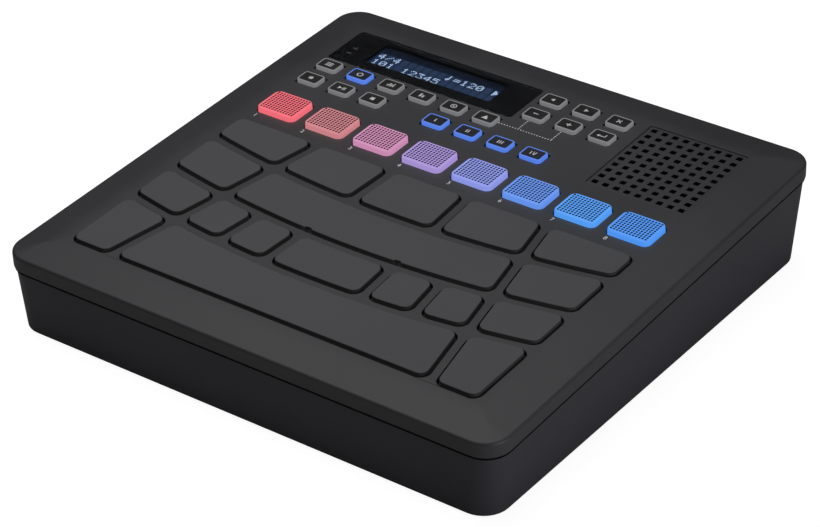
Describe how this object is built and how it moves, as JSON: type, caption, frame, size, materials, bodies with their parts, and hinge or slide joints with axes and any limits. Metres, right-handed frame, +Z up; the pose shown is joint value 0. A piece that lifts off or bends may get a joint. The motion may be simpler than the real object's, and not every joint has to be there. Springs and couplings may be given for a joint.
{
  "type": "finger drum pad",
  "caption": "Square wedge-shaped desktop finger drum pad with a fan of soft pads, a row of lit colour pads, function keys, a character display and a speaker grille.",
  "frame": {"origin": "on the table under the middle of the lid, between the four feet", "axes": "+X to the player's right, +Y to the back, +Z up; the lid rises to the back"},
  "size_m": [0.2566, 0.2552, 0.0544],
  "materials": {
    "lid_plastic": "fine matt moulded texture",
    "case_plastic": "fine matt moulded texture",
    "window_acrylic": "smoked gloss",
    "display_glass": "negative blue display",
    "speaker_steel": "zinc plated",
    "cone_paper": "matt paper",
    "board_laminate": "solder mask",
    "socket_plastic": "moulded",
    "battery_wrap": "shrink wrap",
    "foot_rubber": "matt",
    "screw_steel": "zinc plated",
    "knob_plastic": "fine matt moulded texture",
    "pad_rubber": "matt silicone",
    "key_silicone": "translucent silicone with a dark printed top",
    "lit_silicone": "translucent silicone, lit from below",
    "colour_silicone_1": "translucent silicone, lit from below",
    "colour_silicone_2": "translucent silicone, lit from below",
    "colour_silicone_3": "translucent silicone, lit from below",
    "colour_silicone_4": "translucent silicone, lit from below",
    "colour_silicone_5": "translucent silicone, lit from below",
    "colour_silicone_6": "translucent silicone, lit from below",
    "colour_silicone_7": "translucent silicone, lit from below",
    "colour_silicone_8": "translucent silicone, lit from below"
  },
  "bodies": {
    "case": {"upper_case": "lid_plastic", "lower_case": "case_plastic", "display_window": "window_acrylic", "lcd_module": "display_glass", "speaker_driver": "speaker_steel", "speaker_cone": "cone_paper", "pad_sensor_board": "board_laminate", "panel_board": "board_laminate", "main_board": "board_laminate", "rear_sockets": "socket_plastic", "battery_pack": "battery_wrap", "rubber_feet": "foot_rubber", "case_screws": "screw_steel"},
    "volume_knob": {"volume_knob": "knob_plastic"},
    "power_button": {"power_button": "knob_plastic"},
    "drum_pad_1": {"drum_pad_1": "pad_rubber"},
    "drum_pad_2": {"drum_pad_2": "pad_rubber"},
    "drum_pad_3": {"drum_pad_3": "pad_rubber"},
    "drum_pad_4": {"drum_pad_4": "pad_rubber"},
    "drum_pad_5": {"drum_pad_5": "pad_rubber"},
    "drum_pad_6": {"drum_pad_6": "pad_rubber"},
    "drum_pad_7": {"drum_pad_7": "pad_rubber"},
    "drum_pad_8": {"drum_pad_8": "pad_rubber"},
    "drum_pad_9": {"drum_pad_9": "pad_rubber"},
    "drum_pad_10": {"drum_pad_10": "pad_rubber"},
    "drum_pad_11": {"drum_pad_11": "pad_rubber"},
    "drum_pad_12": {"drum_pad_12": "pad_rubber"},
    "drum_pad_13": {"drum_pad_13": "pad_rubber"},
    "drum_pad_14": {"drum_pad_14": "pad_rubber"},
    "drum_pad_15": {"drum_pad_15": "pad_rubber"},
    "drum_pad_16": {"drum_pad_16": "pad_rubber"},
    "drum_pad_17": {"drum_pad_17": "pad_rubber"},
    "drum_pad_18": {"drum_pad_18": "pad_rubber"},
    "colour_pad_1": {"colour_pad_1": "colour_silicone_1"},
    "colour_pad_2": {"colour_pad_2": "colour_silicone_2"},
    "colour_pad_3": {"colour_pad_3": "colour_silicone_3"},
    "colour_pad_4": {"colour_pad_4": "colour_silicone_4"},
    "colour_pad_5": {"colour_pad_5": "colour_silicone_5"},
    "colour_pad_6": {"colour_pad_6": "colour_silicone_6"},
    "colour_pad_7": {"colour_pad_7": "colour_silicone_7"},
    "colour_pad_8": {"colour_pad_8": "colour_silicone_8"},
    "key_1": {"key_1": "key_silicone"},
    "key_2": {"key_2": "key_silicone"},
    "key_3": {"key_3": "key_silicone"},
    "key_4": {"key_4": "key_silicone"},
    "key_5": {"key_5": "key_silicone"},
    "key_6": {"key_6": "key_silicone"},
    "key_7": {"key_7": "key_silicone"},
    "key_8": {"key_8": "lit_silicone"},
    "key_9": {"key_9": "key_silicone"},
    "key_10": {"key_10": "key_silicone"},
    "key_11": {"key_11": "key_silicone"},
    "key_12": {"key_12": "key_silicone"},
    "key_13": {"key_13": "key_silicone"},
    "key_14": {"key_14": "key_silicone"},
    "key_15": {"key_15": "key_silicone"},
    "key_16": {"key_16": "lit_silicone"},
    "key_17": {"key_17": "lit_silicone"},
    "key_18": {"key_18": "lit_silicone"},
    "key_19": {"key_19": "lit_silicone"}
  },
  "joints": [
    {"name": "drum_pad_1_press", "type": "slide", "parent": "case", "child": "drum_pad_1", "axis": [0, 0.0476, -0.9989], "range_m": [0, 0.0006], "stiffness_N_per_m": 400, "springref_m": -0.002},
    {"name": "drum_pad_2_press", "type": "slide", "parent": "case", "child": "drum_pad_2", "axis": [0, 0.0476, -0.9989], "range_m": [0, 0.0006], "stiffness_N_per_m": 400, "springref_m": -0.002},
    {"name": "drum_pad_3_press", "type": "slide", "parent": "case", "child": "drum_pad_3", "axis": [0, 0.0476, -0.9989], "range_m": [0, 0.0006], "stiffness_N_per_m": 400, "springref_m": -0.002},
    {"name": "drum_pad_4_press", "type": "slide", "parent": "case", "child": "drum_pad_4", "axis": [0, 0.0476, -0.9989], "range_m": [0, 0.0006], "stiffness_N_per_m": 400, "springref_m": -0.002},
    {"name": "drum_pad_5_press", "type": "slide", "parent": "case", "child": "drum_pad_5", "axis": [0, 0.0476, -0.9989], "range_m": [0, 0.0006], "stiffness_N_per_m": 400, "springref_m": -0.002},
    {"name": "drum_pad_6_press", "type": "slide", "parent": "case", "child": "drum_pad_6", "axis": [0, 0.0476, -0.9989], "range_m": [0, 0.0006], "stiffness_N_per_m": 400, "springref_m": -0.002},
    {"name": "drum_pad_7_press", "type": "slide", "parent": "case", "child": "drum_pad_7", "axis": [0, 0.0476, -0.9989], "range_m": [0, 0.0006], "stiffness_N_per_m": 400, "springref_m": -0.002},
    {"name": "drum_pad_8_press", "type": "slide", "parent": "case", "child": "drum_pad_8", "axis": [0, 0.0476, -0.9989], "range_m": [0, 0.0006], "stiffness_N_per_m": 400, "springref_m": -0.002},
    {"name": "drum_pad_9_press", "type": "slide", "parent": "case", "child": "drum_pad_9", "axis": [0, 0.0476, -0.9989], "range_m": [0, 0.0006], "stiffness_N_per_m": 400, "springref_m": -0.002},
    {"name": "drum_pad_10_press", "type": "slide", "parent": "case", "child": "drum_pad_10", "axis": [0, 0.0476, -0.9989], "range_m": [0, 0.0006], "stiffness_N_per_m": 400, "springref_m": -0.002},
    {"name": "drum_pad_11_press", "type": "slide", "parent": "case", "child": "drum_pad_11", "axis": [0, 0.0476, -0.9989], "range_m": [0, 0.0006], "stiffness_N_per_m": 400, "springref_m": -0.002},
    {"name": "drum_pad_12_press", "type": "slide", "parent": "case", "child": "drum_pad_12", "axis": [0, 0.0476, -0.9989], "range_m": [0, 0.0006], "stiffness_N_per_m": 400, "springref_m": -0.002},
    {"name": "drum_pad_13_press", "type": "slide", "parent": "case", "child": "drum_pad_13", "axis": [0, 0.0476, -0.9989], "range_m": [0, 0.0006], "stiffness_N_per_m": 400, "springref_m": -0.002},
    {"name": "drum_pad_14_press", "type": "slide", "parent": "case", "child": "drum_pad_14", "axis": [0, 0.0476, -0.9989], "range_m": [0, 0.0006], "stiffness_N_per_m": 400, "springref_m": -0.002},
    {"name": "drum_pad_15_press", "type": "slide", "parent": "case", "child": "drum_pad_15", "axis": [0, 0.0476, -0.9989], "range_m": [0, 0.0006], "stiffness_N_per_m": 400, "springref_m": -0.002},
    {"name": "drum_pad_16_press", "type": "slide", "parent": "case", "child": "drum_pad_16", "axis": [0, 0.0476, -0.9989], "range_m": [0, 0.0006], "stiffness_N_per_m": 400, "springref_m": -0.002},
    {"name": "drum_pad_17_press", "type": "slide", "parent": "case", "child": "drum_pad_17", "axis": [0, 0.0476, -0.9989], "range_m": [0, 0.0006], "stiffness_N_per_m": 400, "springref_m": -0.002},
    {"name": "drum_pad_18_press", "type": "slide", "parent": "case", "child": "drum_pad_18", "axis": [0, 0.0476, -0.9989], "range_m": [0, 0.0006], "stiffness_N_per_m": 400, "springref_m": -0.002},
    {"name": "colour_pad_1_press", "type": "slide", "parent": "case", "child": "colour_pad_1", "axis": [0, 0.0476, -0.9989], "range_m": [0, 0.0008], "stiffness_N_per_m": 150, "springref_m": -0.004},
    {"name": "colour_pad_2_press", "type": "slide", "parent": "case", "child": "colour_pad_2", "axis": [0, 0.0476, -0.9989], "range_m": [0, 0.0008], "stiffness_N_per_m": 150, "springref_m": -0.004},
    {"name": "colour_pad_3_press", "type": "slide", "parent": "case", "child": "colour_pad_3", "axis": [0, 0.0476, -0.9989], "range_m": [0, 0.0008], "stiffness_N_per_m": 150, "springref_m": -0.004},
    {"name": "colour_pad_4_press", "type": "slide", "parent": "case", "child": "colour_pad_4", "axis": [0, 0.0476, -0.9989], "range_m": [0, 0.0008], "stiffness_N_per_m": 150, "springref_m": -0.004},
    {"name": "colour_pad_5_press", "type": "slide", "parent": "case", "child": "colour_pad_5", "axis": [0, 0.0476, -0.9989], "range_m": [0, 0.0008], "stiffness_N_per_m": 150, "springref_m": -0.004},
    {"name": "colour_pad_6_press", "type": "slide", "parent": "case", "child": "colour_pad_6", "axis": [0, 0.0476, -0.9989], "range_m": [0, 0.0008], "stiffness_N_per_m": 150, "springref_m": -0.004},
    {"name": "colour_pad_7_press", "type": "slide", "parent": "case", "child": "colour_pad_7", "axis": [0, 0.0476, -0.9989], "range_m": [0, 0.0008], "stiffness_N_per_m": 150, "springref_m": -0.004},
    {"name": "colour_pad_8_press", "type": "slide", "parent": "case", "child": "colour_pad_8", "axis": [0, 0.0476, -0.9989], "range_m": [0, 0.0008], "stiffness_N_per_m": 150, "springref_m": -0.004},
    {"name": "key_1_press", "type": "slide", "parent": "case", "child": "key_1", "axis": [0, 0.0476, -0.9989], "range_m": [0, 0.0008], "stiffness_N_per_m": 150, "springref_m": -0.004},
    {"name": "key_2_press", "type": "slide", "parent": "case", "child": "key_2", "axis": [0, 0.0476, -0.9989], "range_m": [0, 0.0008], "stiffness_N_per_m": 150, "springref_m": -0.004},
    {"name": "key_3_press", "type": "slide", "parent": "case", "child": "key_3", "axis": [0, 0.0476, -0.9989], "range_m": [0, 0.0008], "stiffness_N_per_m": 150, "springref_m": -0.004},
    {"name": "key_4_press", "type": "slide", "parent": "case", "child": "key_4", "axis": [0, 0.0476, -0.9989], "range_m": [0, 0.0008], "stiffness_N_per_m": 150, "springref_m": -0.004},
    {"name": "key_5_press", "type": "slide", "parent": "case", "child": "key_5", "axis": [0, 0.0476, -0.9989], "range_m": [0, 0.0008], "stiffness_N_per_m": 150, "springref_m": -0.004},
    {"name": "key_6_press", "type": "slide", "parent": "case", "child": "key_6", "axis": [0, 0.0476, -0.9989], "range_m": [0, 0.0008], "stiffness_N_per_m": 150, "springref_m": -0.004},
    {"name": "key_7_press", "type": "slide", "parent": "case", "child": "key_7", "axis": [0, 0.0476, -0.9989], "range_m": [0, 0.0008], "stiffness_N_per_m": 150, "springref_m": -0.004},
    {"name": "key_8_press", "type": "slide", "parent": "case", "child": "key_8", "axis": [0, 0.0476, -0.9989], "range_m": [0, 0.0008], "stiffness_N_per_m": 150, "springref_m": -0.004},
    {"name": "key_9_press", "type": "slide", "parent": "case", "child": "key_9", "axis": [0, 0.0476, -0.9989], "range_m": [0, 0.0008], "stiffness_N_per_m": 150, "springref_m": -0.004},
    {"name": "key_10_press", "type": "slide", "parent": "case", "child": "key_10", "axis": [0, 0.0476, -0.9989], "range_m": [0, 0.0008], "stiffness_N_per_m": 150, "springref_m": -0.004},
    {"name": "key_11_press", "type": "slide", "parent": "case", "child": "key_11", "axis": [0, 0.0476, -0.9989], "range_m": [0, 0.0008], "stiffness_N_per_m": 150, "springref_m": -0.004},
    {"name": "key_12_press", "type": "slide", "parent": "case", "child": "key_12", "axis": [0, 0.0476, -0.9989], "range_m": [0, 0.0008], "stiffness_N_per_m": 150, "springref_m": -0.004},
    {"name": "key_13_press", "type": "slide", "parent": "case", "child": "key_13", "axis": [0, 0.0476, -0.9989], "range_m": [0, 0.0008], "stiffness_N_per_m": 150, "springref_m": -0.004},
    {"name": "key_14_press", "type": "slide", "parent": "case", "child": "key_14", "axis": [0, 0.0476, -0.9989], "range_m": [0, 0.0008], "stiffness_N_per_m": 150, "springref_m": -0.004},
    {"name": "key_15_press", "type": "slide", "parent": "case", "child": "key_15", "axis": [0, 0.0476, -0.9989], "range_m": [0, 0.0008], "stiffness_N_per_m": 150, "springref_m": -0.004},
    {"name": "key_16_press", "type": "slide", "parent": "case", "child": "key_16", "axis": [0, 0.0476, -0.9989], "range_m": [0, 0.0008], "stiffness_N_per_m": 150, "springref_m": -0.004},
    {"name": "key_17_press", "type": "slide", "parent": "case", "child": "key_17", "axis": [0, 0.0476, -0.9989], "range_m": [0, 0.0008], "stiffness_N_per_m": 150, "springref_m": -0.004},
    {"name": "key_18_press", "type": "slide", "parent": "case", "child": "key_18", "axis": [0, 0.0476, -0.9989], "range_m": [0, 0.0008], "stiffness_N_per_m": 150, "springref_m": -0.004},
    {"name": "key_19_press", "type": "slide", "parent": "case", "child": "key_19", "axis": [0, 0.0476, -0.9989], "range_m": [0, 0.0008], "stiffness_N_per_m": 150, "springref_m": -0.004},
    {"name": "power_button_press", "type": "slide", "parent": "case", "child": "power_button", "axis": [0, -1, 0], "range_m": [0, 0.0008], "stiffness_N_per_m": 100, "springref_m": -0.004},
    {"name": "volume_knob_turn", "type": "hinge", "parent": "case", "child": "volume_knob", "pos_m": [-0.062, 0.122, 0.019], "axis": [0, 1, 0], "range_deg": [-150, 150]}
  ]
}
